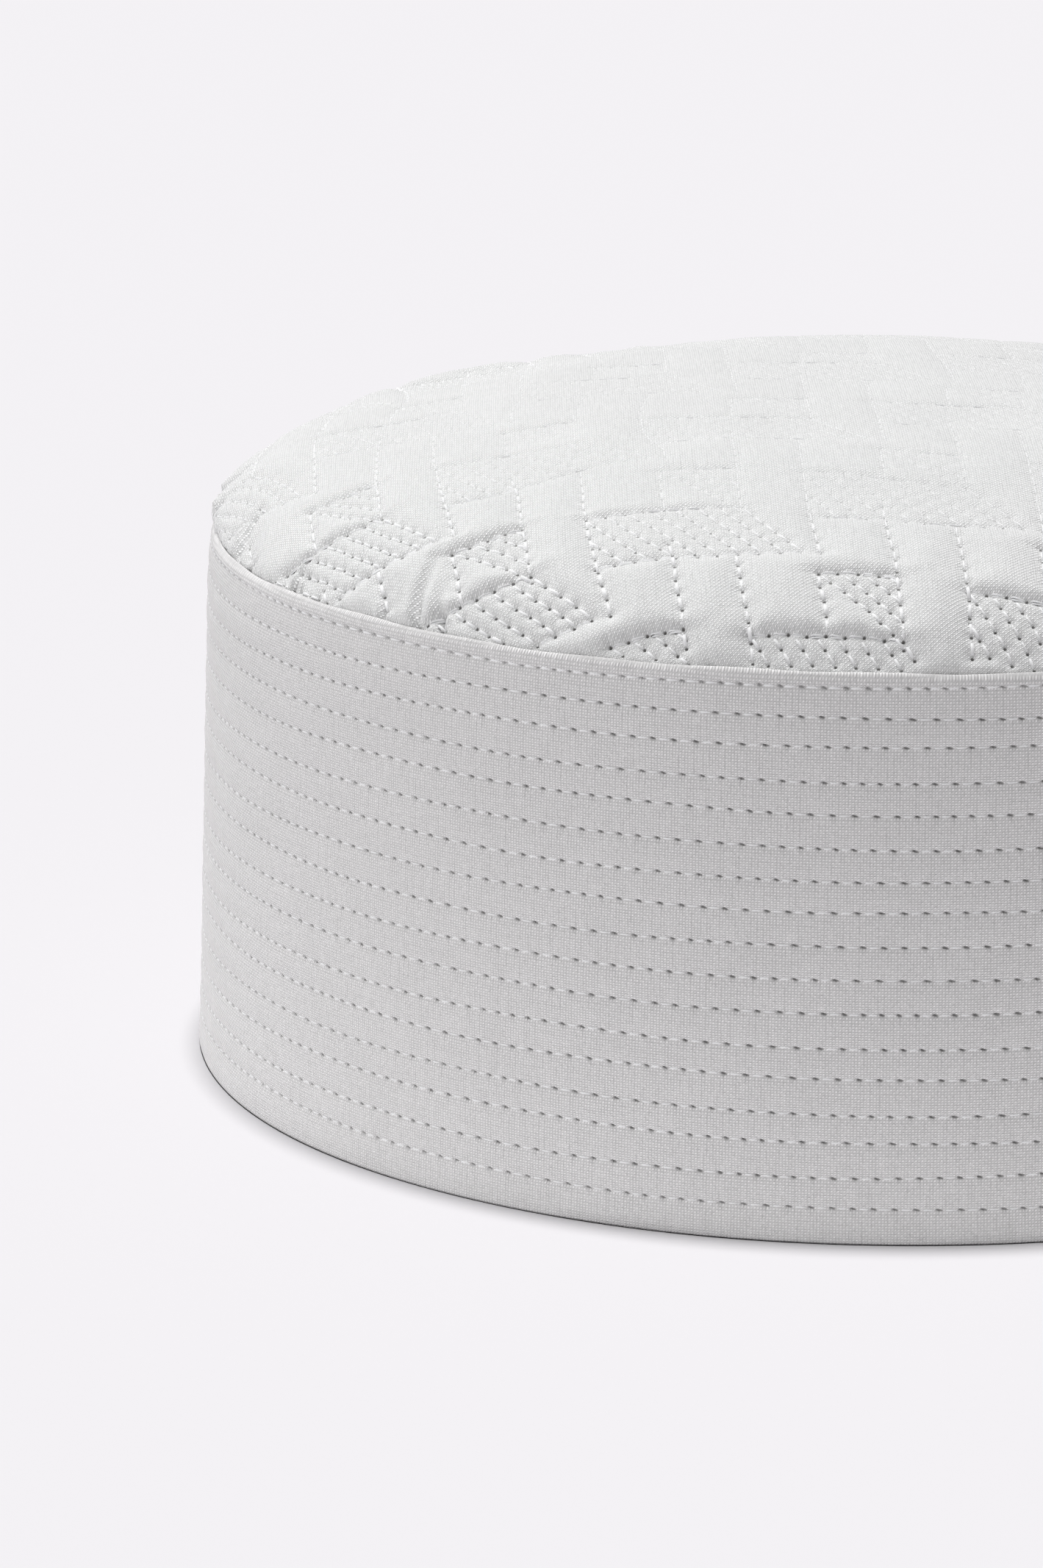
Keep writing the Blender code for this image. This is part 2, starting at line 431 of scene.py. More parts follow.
def creases(bearing, reach, drop):
    """How far the narrow creases and puckers push the crown in."""
    inward = np.zeros(len(bearing))
    degrees = np.degrees(bearing)
    for seam_bearing, lean, length, width, depth, ridge in (*CREASES, *small_puckers()):
        along = drop / (length * MM)
        turn = (degrees - seam_bearing - lean * along + 180) % 360 - 180
        across = np.radians(turn) * reach * HALF_WIDTH / MM / width
        run = 1 - smooth_step(along)
        sides = np.exp(-((np.abs(across) - 2.3) ** 2) / 1.3)
        inward += run * MM * (depth * np.exp(-(across**2)) - ridge * sides * smooth_step(4 * along))
    return inward


def even_points(line, pitch):
    """Points about this far apart along a line, with both its ends."""
    line = np.array(line, dtype=float)
    steps = np.linalg.norm(np.diff(line, axis=0), axis=1)
    way = np.concatenate(([0.0], np.cumsum(steps)))
    places = np.linspace(0.0, way[-1], max(1, round(way[-1] / pitch)) + 1)
    return np.stack([np.interp(places, way, line[:, axis]) for axis in (0, 1)], axis=1)


def stitch_holes(line, pitch, random):
    """Needle holes a stitch apart along a line of the flat cloth."""
    holes = even_points(pulled(even_points(line, 0.5)), pitch)
    holes[1:-1] += random.uniform(-0.12, 0.12, holes[1:-1].shape)
    return holes


def pulled(points):
    """Points of the even pattern, moved as the sewn and gathered cloth is."""
    pulls = np.array(PULLS, dtype=float)
    away = points[:, None, :] - pulls[None, :, :2]
    weights = np.exp(-((away**2).sum(axis=2) / (2 * PULL_REACH**2)))
    return points + weights @ pulls[:, 2:] / (weights.sum(axis=1)[:, None] + 0.12)


def patch_fill():
    """The slanted lines inside a cell's two patches."""
    lines = []
    count = int((PATCH_WIDTH + PATCH_HEIGHT * FILL_SLANT) / FILL_STEP)
    for step in range(1, count + 1):
        top = PATCH_WIDTH - step * FILL_STEP
        start = (top, -top / 8) if top > 0 else (0.0, top / FILL_SLANT)
        foot = top + (13.0 + top / 14) * FILL_SLANT
        end = (foot, -PATCH_HEIGHT - foot / 9)
        if end[0] > 1.5:
            lines.append((start, end))
    left, high = SMALL_PATCH_CORNER
    for step in range(4):
        top = left + step * FILL_STEP
        fall = (PATCH_WIDTH - top) * 1.45
        start = (top, high - (top - left) * 0.15)
        lines.append((start, (PATCH_WIDTH, start[1] - fall)))
    return lines


def cell_corners():
    """The corners of every quilting cell that may reach the crown."""
    corners = []
    for across in range(-7, 8):
        for down in range(-6, 7):
            step = across * np.array(CELL_ACROSS) + down * np.array(CELL_DOWN)
            corners.append(np.array(CELL_CORNER) + step)
    return corners


def quilted_lines(pitch):
    """Needle holes of every quilted line on the flat cloth, its thread's thickness and if it's double."""
    random = np.random.default_rng(11)
    cell = [(line, 1.0, 0.75, True) for line in DOUBLE_LINES]
    cell += [(line, LONG_STITCH, 1.4, False) for line in SINGLE_LINES]
    cell += [(line, 1.0, 1.15, False) for line in patch_fill()]
    sewn = []
    for corner in cell_corners():
        if np.hypot(*corner) > FLAT_RADIUS + 40:
            continue
        for line, longer, thickness, double in cell:
            holes = stitch_holes(np.array(line) + corner, pitch * longer, random)
            sewn.append((holes, thickness, double))
    return sewn


def top_edges():
    """Points along the top edges of the patches, in mm on the flat cloth."""
    points = []
    shares = np.linspace(0.0, 1.0, 40)[:, None]
    for corner in cell_corners():
        for start, end in (DOUBLE_LINES[0], DOUBLE_LINES[2]):
            points.append(corner + np.array(start) * (1 - shares) + np.array(end) * shares)
    return pulled(np.concatenate(points))


def way_out(flat):
    """How far points of the flat cloth are from its middle, as a share of the way to the seam."""
    return np.hypot(flat[:, 0], flat[:, 1] * HALF_WIDTH / HALF_DEPTH) / FLAT_RADIUS


def crown_stitches(pitch):
    """Both ends of every stitch on the flat cloth, its thread's thickness and if its line is double."""
    starts, ends, thicknesses, doubles = [], [], [], []
    for holes, thickness, double in quilted_lines(pitch):
        inside = way_out(holes) < 0.993
        keep = inside[:-1] & inside[1:]
        starts.append(holes[:-1][keep])
        ends.append(holes[1:][keep])
        thicknesses.append(np.full(keep.sum(), thickness))
        doubles.append(np.full(keep.sum(), double))
    return np.concatenate(starts), np.concatenate(ends), np.concatenate(thicknesses), np.concatenate(doubles)


def crease_points():
    """Points of the flat cloth along the creases and close beside them."""
    arc = PROFILE[0][-1] / MM
    points = []
    for bearing, lean, length, *_ in CREASES:
        drop = np.arange(0.4, length, 0.45)
        way = (arc - drop) / arc * FLAT_RADIUS
        for aside in (-1.5, -0.9, -0.5, -0.2, 0.0, 0.2, 0.5, 0.9, 1.5):
            turn = np.radians(bearing + lean * drop / length) + aside / way
            back = -way * np.cos(turn) * HALF_DEPTH / HALF_WIDTH
            points.append(np.stack((way * np.sin(turn), back), axis=1))
    return np.concatenate(points)


def tree_of(points):
    tree = kdtree.KDTree(len(points))
    for index, point in enumerate(points):
        tree.insert((point[0], point[1], 0.0), index)
    tree.balance()
    return tree


def distances(points, tree):
    return np.array([tree.find((x, y, 0.0))[2] for x, y in points])


def apart(points, others, gap):
    """Those points that are further than the gap from all the others."""
    return points[distances(points, tree_of(others)) > gap]


def thinned(points, gap):
    """The points without any that lie closer than the gap to an earlier one."""
    cells = {}
    kept = []
    for x, y in points:
        key = (int(x // gap), int(y // gap))
        near = [cells.get((key[0] + i, key[1] + j), ()) for i in (-1, 0, 1) for j in (-1, 0, 1)]
        if any((x - a) ** 2 + (y - b) ** 2 < gap * gap for cell in near for a, b in cell):
            continue
        cells.setdefault(key, []).append((x, y))
        kept.append((x, y))
    return np.array(kept)


def rim_points(count):
    turn = np.linspace(-math.pi, math.pi, count, endpoint=False)
    return FLAT_RADIUS * np.stack((np.sin(turn), -np.cos(turn) * HALF_DEPTH / HALF_WIDTH), axis=1)


def hexagonal_grid(step):
    reach = FLAT_RADIUS * 1.06
    rows = np.arange(-reach, reach, step * 0.866)
    grid = []
    for index, row in enumerate(rows):
        across = np.arange(-reach, reach, step) + (index % 2) * step / 2
        grid.append(np.stack((across, np.full(len(across), row)), axis=1))
    grid = np.concatenate(grid)
    random = np.random.default_rng(5)
    return grid + random.uniform(-0.1, 0.1, grid.shape) * step


class Quilting:
    """The crown's stitched lines as relief: how high the cloth stands and where the needle holes are."""

    def __init__(self, sizes):
        self.sizes = sizes
        self.starts, self.ends, self.thicknesses, self.doubles = crown_stitches(sizes.stitch_length / MM)
        self.holes = thinned(np.concatenate((self.starts, self.ends)), 0.7)
        shares = np.linspace(0.0, 1.0, 6)[:, None, None]
        along = self.starts + (self.ends - self.starts) * shares
        self.line_tree = tree_of(along.reshape(-1, 2))
        self.hole_tree = tree_of(self.holes)
        tops = top_edges()
        self.top_tree = tree_of(tops[way_out(tops) < 1.02])

    def overhang(self, flat):
        """How far the plain cloth sags over the patch below it: sharply where it is loose."""
        found = [self.top_tree.find((x, y, 0.0)) for x, y in flat]
        sharp = 0.5 + 1.1 * (1 - self.slack(flat))
        nearest = np.array([(hit[0][0], hit[0][1]) for hit in found])
        away = flat - nearest
        distance = np.linalg.norm(away, axis=1)
        above = smooth_step(away[:, 1] / np.maximum(distance, 0.05) * 2)
        return above * (1 - np.exp(-distance / sharp)) * np.exp(-((distance / 3.2) ** 2))

    def slack(self, flat):
        """How loose the cloth is: tight in the middle, loose near the seam, but less so at the sides."""
        bearing = np.arctan2(flat[:, 0], -flat[:, 1])
        side = np.abs(np.sin(bearing))
        loose = 0.08 + 0.92 * smooth_step((way_out(flat) - 0.55) / 0.35)
        return loose * (1 - 0.6 * smooth_step((side - 0.75) / 0.25))

    def relief(self, flat):
        """Height of the cloth over the smooth crown in metres, and a mark for the painted shade inside the
        needle holes, up to 1 at a hole.
        """
        line = distances(flat, self.line_tree)
        hole = distances(flat, self.hole_tree)
        out = way_out(flat)
        slack = self.slack(flat)
        puff = self.sizes.crown_puff * (1 - np.exp(-((line / PUFF_REACH) ** 2)))
        sag = self.sizes.overhang * self.overhang(flat)
        drawn_down = 1 - 0.45 * np.exp(-((hole / HOLE_REACH) ** 2))
        pillow = self.sizes.patch_puff * (1 - np.exp(-line / PATCH_REACH)) * drawn_down
        dimple = self.sizes.hole_depth * np.exp(-((hole / DIMPLE_WIDTH) ** 2)) * (0.3 + 0.7 * slack)
        edge = smooth_step((1.0 - out) * 40)
        rim = EDGE_SINK * (1 - smooth_step((1.0 - out) * 32))
        height = puff * slack + sag * (0.3 + 0.7 * slack) + pillow * (0.15 + 0.85 * slack) - LINE_SINK
        # Painted shade inside the needle holes, fainter where the cloth is tight
        mark = np.clip(1 - hole / CROWN_HOLE, 0.0, 1.0) * (0.1 + 0.9 * slack)
        return height * edge - dimple - rim, mark

    def mesh_points(self):
        """Points of the fine mesh of the crown's top: denser at holes and lines."""
        rim = rim_points(720)
        turns = np.arange(6) * math.pi / 3
        circle = CROWN_HOLE * np.stack((np.cos(turns), np.sin(turns)), axis=1)
        around = (self.holes[:, None, :] + circle[None, :, :]).reshape(-1, 2)
        chosen = np.concatenate((rim, self.holes))
        chosen = np.concatenate((chosen, thinned(apart(around, chosen, 0.25), 0.2)))
        chosen = np.concatenate((chosen, thinned(apart(crease_points(), chosen, 0.18), 0.18)))
        middle = (self.starts + self.ends) / 2
        way = self.ends - self.starts
        side = np.stack((-way[:, 1], way[:, 0]), axis=1) / np.linalg.norm(way, axis=1)[:, None]
        middle = thinned(np.concatenate((middle, middle + 0.6 * side, middle - 0.6 * side)), 0.35)
        chosen = np.concatenate((chosen, apart(middle, chosen, 0.35)))
        return np.concatenate((chosen, apart(hexagonal_grid(TOP_GRID), chosen, 0.5)))

    def lining_points(self):
        """Points of the coarser mesh of the crown's underside."""
        chosen = np.concatenate((rim_points(240), self.holes))
        return np.concatenate((chosen, apart(hexagonal_grid(UNDERSIDE_GRID), chosen, 0.9)))


def triangulated(points):
    """Triangles over those points of the flat cloth that are on the rim or well inside it."""
    out = way_out(points)
    inside = points[(out < 0.997) | (np.abs(out - 1) < 0.00001)]
    out = delaunay_2d_cdt([Vector(point) for point in inside], [], [], 0, 1e-4, False)
    return np.array(out[0]), np.array(out[2])


def rim_order(flat):
    """The points on the rim, in order of their bearing."""
    rim = np.flatnonzero(way_out(flat) > 0.99999)
    return rim[np.argsort(np.arctan2(flat[rim, 0], -flat[rim, 1]))]


def bridge(first, second):
    """Faces between two closed rings, where the first has a whole number of times as many points."""
    ratio = len(first) // len(second)
    faces = []
    for index, point in enumerate(second):
        after = second[(index + 1) % len(second)]
        run = [first[(index * ratio + step) % len(first)] for step in range(ratio + 1)]
        middle = (ratio + 1) // 2
        faces += [(run[step], run[step + 1], point) for step in range(middle)]
        faces += [(run[step], run[step + 1], after) for step in range(middle, ratio)]
        faces.append((point, run[middle], after))
    return faces


def add_mesh(name, points, faces, charts, marks, material):
    """A piece of these points and faces, with its flat charts as UV maps and its named marks."""
    mesh = bpy.data.meshes.new(name)
    mesh.from_pydata([tuple(point) for point in points], [], [tuple(int(i) for i in face) for face in faces])
    mesh.validate()
    for chart, (flat, length) in charts.items():
        layer = mesh.uv_layers.new(name=chart)
        layer.data.foreach_set("uv", unwrapped(mesh, flat, length).ravel())
    for mark, values in marks.items():
        attribute = mesh.attributes.new(mark, "FLOAT", "POINT")
        attribute.data.foreach_set("value", np.asarray(values, dtype=np.float32))
    mesh.materials.append(material)
    mesh.shade_smooth()
    piece = bpy.data.objects.new(name, mesh)
    bpy.context.scene.collection.objects.link(piece)
    return piece


def unwrapped(mesh, flat, length):
    """Flat coordinates at each face corner, carried on past the place where a ring of this length closes."""
    corners = np.zeros(len(mesh.loops), dtype=np.int32)
    mesh.loops.foreach_get("vertex_index", corners)
    values = np.asarray(flat, dtype=np.float64)[corners]
    if not length:
        return values
    starts = np.zeros(len(mesh.polygons), dtype=np.int32)
    totals = np.zeros(len(mesh.polygons), dtype=np.int32)
    mesh.polygons.foreach_get("loop_start", starts)
    mesh.polygons.foreach_get("loop_total", totals)
    highest = np.repeat(np.maximum.reduceat(values[:, 0], starts), totals)
    low = highest - values[:, 0] > length / 2
    values[low, 0] += length
    return values


class Socket:
    """An output of a node. Arithmetic on it adds Math nodes to its tree."""

    def __init__(self, tree, socket):
        self.tree = tree
        self.socket = socket

    def math(self, operation, *terms):
        return self.tree.add("ShaderNodeMath", {"operation": operation}, dict(enumerate(terms)))

    def __add__(self, other):
        return self.math("ADD", self, other)

    __radd__ = __add__

    def __sub__(self, other):
        return self.math("SUBTRACT", self, other)

    def __rsub__(self, other):
        return self.math("SUBTRACT", other, self)

    def __mul__(self, other):
        return self.math("MULTIPLY", self, other)

    __rmul__ = __mul__

    def __pow__(self, other):
        return self.math("POWER", self, other)


class Tree:
    """A node tree, to which nodes are added one at a time."""

    def __init__(self, tree):
        self.tree = tree

    def add(self, kind, settings=None, inputs=None, output=0):
        """A node of this type: its settings first, then the values or links of its sockets."""
        node = self.tree.nodes.new(kind)
        for name, value in (settings or {}).items():
            setattr(node, name, value)
        for key, value in (inputs or {}).items():
            if isinstance(value, Socket):
                self.tree.links.new(value.socket, node.inputs[key])
            else:
                node.inputs[key].default_value = value
        return Socket(self, node.outputs[output]) if node.outputs else node

    def of(self, value, output):
        """Another output of the node that a socket belongs to."""
        return Socket(self, value.socket.node.outputs[output])


def smooth_mask(tree, value, low, high):
    """0 below low, 1 above high and smooth between."""
    return tree.add(
        "ShaderNodeMapRange",
        {"interpolation_type": "SMOOTHSTEP"},
        {"Value": value, "From Min": low, "From Max": high},
    )


def blend_colour(tree, share, first, second):
    return tree.add("ShaderNodeMix", {"data_type": "RGBA"}, {0: share, 6: first, 7: second}, 2)


def noise(tree, place, scale, detail=2.0, roughness=0.5):
    return tree.add(
        "ShaderNodeTexNoise",
        None,
        {"Vector": place, "Scale": scale, "Detail": detail, "Roughness": roughness},
    )


def stretched(tree, place, across, along):
    """The place with its two directions scaled differently."""
    return tree.add(
        "ShaderNodeVectorMath", {"operation": "MULTIPLY"}, {0: place, 1: (across, along, 1.0)}
    )


def new_material(name):
    material = bpy.data.materials.new(name)
    material.use_nodes = True
    material.node_tree.nodes.clear()
    return material, Tree(material.node_tree)


def finish_material(tree, sockets):
    shader = tree.add("ShaderNodeBsdfPrincipled", None, sockets)
    tree.add("ShaderNodeOutputMaterial", None, {"Surface": shader})


def row_hole_shade(tree):
    """1 inside the needle holes of the band's rows, where their shade is painted: short dashes that lean down
    to the right.
    """
    rows = tree.add("ShaderNodeUVMap", {"uv_map": "rows"})
    along = tree.add("ShaderNodeSeparateXYZ", None, {0: rows}, 0)
    row = tree.of(along, 1)
    jitter = noise(tree, rows, 0.7, 0.0) - 0.5
    along = ((along + 0.5).math("FRACT", along + 0.5) - 0.5) * (BAND_LENGTH / ROW_STITCHES) - 0.15
    up = ((row + 0.5).math("FRACT", row + 0.5) - 0.5) * ROW_GAP + jitter * 0.12
    length = along * (1 / ROW_HOLE_SHADE[0])
    width = (up + along * 0.12) * (1 / ROW_HOLE_SHADE[1])
    last = len(ROW_HEIGHTS) - 1
    share = 0.75 - smooth_mask(tree, row, last - 0.6, last - 0.4) * 0.4
    return (1 - smooth_mask(tree, length * length + width * width, 0.35, 1.4)) * share


def marked_hole_shade(tree):
    """1 inside the needle holes that the mesh marks, where their shade is painted."""
    mark = tree.add("ShaderNodeAttribute", {"attribute_name": "hole"}, None, "Fac")
    return smooth_mask(tree, mark, 0.08, 0.5)


def woven_cotton(name, colour, hole_shade_colour, pitch, weft_share, twill, contrast, relief, holes):
    """Woven cotton, with its threads, uneven yarn, faint random changes of tone and painted shade inside its
    needle holes.
    """
    material, tree = new_material(name)
    cloth = tree.add("ShaderNodeUVMap", {"uv_map": "cloth"})
    across = tree.add("ShaderNodeSeparateXYZ", None, {0: cloth}, 0)
    along = tree.of(across, 1)
    warp = across * (math.pi / pitch[0])
    weft = along * (math.pi / pitch[1])
    crossing = warp.math("COSINE", warp) * weft.math("COSINE", weft)
    diagonal = warp.math("SINE", warp) * weft.math("SINE", weft)
    crossing = crossing + diagonal * twill
    threads = crossing.math("MAXIMUM", crossing, crossing * -weft_share)
    warp_yarn = noise(tree, stretched(tree, cloth, 1 / pitch[0], 0.25), 1.0, 1.0)
    weft_yarn = noise(tree, stretched(tree, cloth, 0.25, 1 / pitch[1]), 1.0, 1.0)
    flecks = noise(tree, stretched(tree, cloth, 1.2 / pitch[0], 0.6 / pitch[1]), 1.0, 0.0)
    yarn = warp_yarn * 0.4 + weft_yarn * 0.25 + flecks * 0.35
    patchy = noise(tree, cloth, 0.09, 3.0)
    hole = holes(tree)
    shade = threads * contrast + yarn * 0.4 + patchy * 0.06 + (0.77 - contrast * 0.4)
    plain = tree.add(
        "ShaderNodeVectorMath",
        {"operation": "SCALE"},
        {0: (*colour, ), "Scale": shade},
    )
    # Painted shade: the dark inside of the needle holes is mixed into the cloth's colour
    tinted = blend_colour(tree, hole * 0.85, plain, (*hole_shade_colour, 1.0))
    height = threads * 0.6 + yarn * 0.8
    bump = tree.add(
        "ShaderNodeBump", None, {"Strength": 1.0, "Distance": relief, "Height": height}
    )
    finish_material(tree, {
        "Base Color": tinted,
        "Roughness": yarn * -0.12 + 0.94,
        "Normal": bump,
        "Specular IOR Level": 0.25,
        "Sheen Weight": 0.18,
        "Sheen Roughness": 0.5,
    })
    return material


def sewing_thread(name, colour):
    """Spun cotton thread: a little brighter and smoother than the cloth, its fibres just uneven."""
    material, tree = new_material(name)
    place = tree.add("ShaderNodeTexCoord", None, None, "Object")
    fibres = noise(tree, place, 6000.0, 2.0, 0.6)
    shade = fibres * 0.2 + 0.9
    tinted = tree.add("ShaderNodeVectorMath", {"operation": "SCALE"}, {0: (*colour, ), "Scale": shade})
    bump = tree.add("ShaderNodeBump", None, {"Strength": 0.4, "Distance": 0.00005, "Height": fibres})
    finish_material(tree, {
        "Base Color": tinted,
        "Roughness": fibres * 0.2 + 0.5,
        "Normal": bump,
        "Specular IOR Level": 0.4,
        "Sheen Weight": 0.2,
        "Sheen Roughness": 0.4,
    })
    return material


def studio_floor(name, colour):
    """A dark matt floor. Its own strong lamp makes it pale, so that the cap casts hardly any light on it."""
    material, tree = new_material(name)
    finish_material(tree, {"Base Color": (*colour, 1.0), "Roughness": 1.0, "Specular IOR Level": 0.0})
    return material


def stitch_tree():
    """Geometry Nodes: a thread from hole to hole at each point, which dips in at its ends."""
    group = bpy.data.node_groups.new("stitches", "GeometryNodeTree")
    sockets = group.interface
    sockets.new_socket("Points", in_out="INPUT", socket_type="NodeSocketGeometry")
    sockets.new_socket("Stitches", in_out="OUTPUT", socket_type="NodeSocketGeometry")
    for name, kind in (
        ("Thickness", "NodeSocketFloat"),
        ("Lift", "NodeSocketFloat"),
        ("Dip", "NodeSocketFloat"),
        ("Sink", "NodeSocketFloat"),
        ("Unevenness", "NodeSocketFloat"),
        ("Sides", "NodeSocketInt"),
        ("Seed", "NodeSocketInt"),
        ("Thread", "NodeSocketMaterial"),
    ):
        sockets.new_socket(name, in_out="INPUT", socket_type=kind)
    tree = Tree(group)
    given = tree.add("NodeGroupInput", None, None, "Points")
    line = tree.add("GeometryNodeCurvePrimitiveLine", None, {"Start": (-0.5, 0, 0), "End": (0.5, 0, 0)})
    line = tree.add("GeometryNodeResampleCurve", None, {"Curve": line, "Count": 5})
    place = tree.add("ShaderNodeSeparateXYZ", None, {0: tree.add("GeometryNodeInputPosition")})
    out = (place * math.pi).math("SINE", place * math.pi) * 0.5
    up = tree.of(given, "Lift") - tree.of(given, "Dip") * (place * 2).math("ABSOLUTE", place * 2) ** 3.0
    up = up - tree.of(given, "Sink") * (place + 0.5)
    bent = tree.add(
        "GeometryNodeSetPosition",
        None,
        {"Geometry": line, "Position": tree.add("ShaderNodeCombineXYZ", None, {0: out, 2: up})},
    )
    round_thread = tree.add(
        "GeometryNodeCurvePrimitiveCircle",
        None,
        {"Resolution": tree.of(given, "Sides"), "Radius": tree.of(given, "Thickness") * 0.5},
    )
    thread = tree.add(
        "GeometryNodeCurveToMesh",
        None,
        {"Curve": bent, "Profile Curve": round_thread, "Fill Caps": True},
    )
    along = tree.add("GeometryNodeInputNamedAttribute", {"data_type": "FLOAT_VECTOR"}, {"Name": "along"})
    outward = tree.add("GeometryNodeInputNamedAttribute", {"data_type": "FLOAT_VECTOR"}, {"Name": "outward"})
    length = tree.add("GeometryNodeInputNamedAttribute", {"data_type": "FLOAT"}, {"Name": "length"})
    weight = tree.add("GeometryNodeInputNamedAttribute", {"data_type": "FLOAT"}, {"Name": "weight"})
    turned = tree.add(
        "FunctionNodeAxesToRotation",
        {"primary_axis": "X", "secondary_axis": "Z"},
        {"Primary Axis": along, "Secondary Axis": outward},
    )
    chance = tree.add(
        "FunctionNodeRandomValue",
        {"data_type": "FLOAT"},
        {2: -1.0, 3: 1.0, "Seed": tree.of(given, "Seed")},
        1,
    )
    thick = weight * (chance * tree.of(given, "Unevenness") + 1.0)
    placed = tree.add("GeometryNodeInstanceOnPoints", None, {
        "Points": given,
        "Instance": thread,
        "Rotation": turned,
        "Scale": tree.add("ShaderNodeCombineXYZ", None, {0: length, 1: thick, 2: thick}),
    })
    real = tree.add("GeometryNodeRealizeInstances", None, {"Geometry": placed})
    smooth = tree.add("GeometryNodeSetShadeSmooth", None, {0: real})
    cotton = tree.of(given, "Thread")
    done = tree.add("GeometryNodeSetMaterial", None, {"Geometry": smooth, "Material": cotton})
    tree.add("NodeGroupOutput", None, {0: done})
    return group


def sew(name, starts, ends, outward, weights, material, inputs):
    """Stitches between these points as one mesh, made by the stitch tree."""
    mesh = bpy.data.meshes.new(name)
    middle = (starts + ends) / 2
    way = ends - starts
    length = np.linalg.norm(way, axis=1)
    mesh.from_pydata([tuple(point) for point in middle], [], [])
    marks = (
        ("along", "FLOAT_VECTOR", "vector", way / length[:, None]),
        ("outward", "FLOAT_VECTOR", "vector", outward),
        ("length", "FLOAT", "value", length),
        ("weight", "FLOAT", "value", weights),
    )
    for mark, kind, field, values in marks:
        attribute = mesh.attributes.new(mark, kind, "POINT")
        attribute.data.foreach_set(field, np.asarray(values, dtype=np.float32).ravel())
    piece = bpy.data.objects.new(name, mesh)
    bpy.context.scene.collection.objects.link(piece)
    group = bpy.data.node_groups.get("stitches") or stitch_tree()
    modifier = piece.modifiers.new("stitches", "NODES")
    modifier.node_group = group
    settings = dict(inputs, Thread=material)
    for socket in group.interface.items_tree:
        if socket.in_out == "INPUT" and socket.name in settings:
            modifier[socket.identifier] = settings[socket.name]
    graph = bpy.context.evaluated_depsgraph_get()
    sewn = bpy.data.meshes.new_from_object(piece.evaluated_get(graph))
    piece.modifiers.clear()
    piece.data = sewn
    sewn.name = name
    for mark, *_ in marks:
        if mark in sewn.attributes:
            sewn.attributes.remove(sewn.attributes[mark])
    return piece


def all_columns():
    """The band's mesh columns, counted in stitches."""
    return (np.arange(ROW_STITCHES)[:, None] + np.array(COLUMN_STEPS)[None, :]).ravel()


def row_places(row):
    """Where the band's mesh columns pass through a stitched row, as shares of the way round."""
    random = np.random.default_rng(100 + row)
    columns = all_columns()
    wander = np.zeros(len(columns))
    for waves, size in ((5, 0.30), (11, 0.20), (23, 0.12)):
        wander += size * np.sin(2 * math.pi * (waves * columns / ROW_STITCHES + random.uniform()))
    return (columns + random.uniform(-0.3, 0.3) + wander) / ROW_STITCHES


def leans_in(height):
    """How far the band's outer face leans in near its top."""
    return TOP_LEAN * smooth_step((height / BAND_HEIGHT - 0.91) / 0.09)


def row_shift(row, share):
    """How far a stitched row strays up or down, in metres, at these shares of the way round."""
    random = np.random.default_rng(200 + row)
    shift = np.zeros(len(share))
    for waves, size in ((2, 0.22), (5, 0.12), (13, 0.06)):
        shift += size * MM * np.sin(2 * math.pi * (waves * share + random.uniform()))
    return shift


def band_rings(sizes):
    """Rings of the band's outer face from the foot up: column places, heights, insets and row numbers."""
    rows = [(row_places(i), height * MM) for i, height in enumerate(ROW_HEIGHTS)]
    holes = np.tile((1.0, 0.0, 0.0), ROW_STITCHES)
    rings = []

    def add_ring(low, high, height, near, hole):
        share = 0.5 if high == low else (height - rows[low][1]) / (rows[high][1] - rows[low][1])
        place = rows[low][0] * (1 - share) + rows[high][0] * share
        shift = row_shift(low, place) * (1 - share) + row_shift(high, place) * share
        room = 1 - np.exp(-near / (0.9 * MM))
        turn = 2 * math.pi * place
        swell = 1 + 0.25 * np.sin(7 * turn + 0.74 * math.pi * low) * np.sin(3 * turn + low)
        inward = sizes.channel_depth * (1 - room * swell * 1.35)
        inward = inward + sizes.hole_depth * hole * holes + leans_in(height)
        away = (height - rows[low][1]) / MM
        if high != low and share > 0.5:
            away = (height - rows[high][1]) / MM
        row = high if high != low and share > 0.5 else low
        rings.append((place, height + shift, inward, row + max(away / ROW_GAP, -0.5)))

    lowest = rows[0][1]
    for height in (FOOT_ROUND, 2.2 * MM, 3.4 * MM, lowest - 0.35 * MM):
        add_ring(0, 0, height, lowest - height, 0.0)
    for low in range(len(rows)):
        base = rows[low][1]
        add_ring(low, low, base, 0.0, 1.0)
        if low + 1 == len(rows):
            break
        gap = rows[low + 1][1] - base
        places = [step * MM for step in RING_STEPS] + [gap / 2]
        places += [gap - step * MM for step in reversed(RING_STEPS)]
        for place in places:
            add_ring(low, low + 1, base + place, min(place, gap - place), 0.0)
    return rings


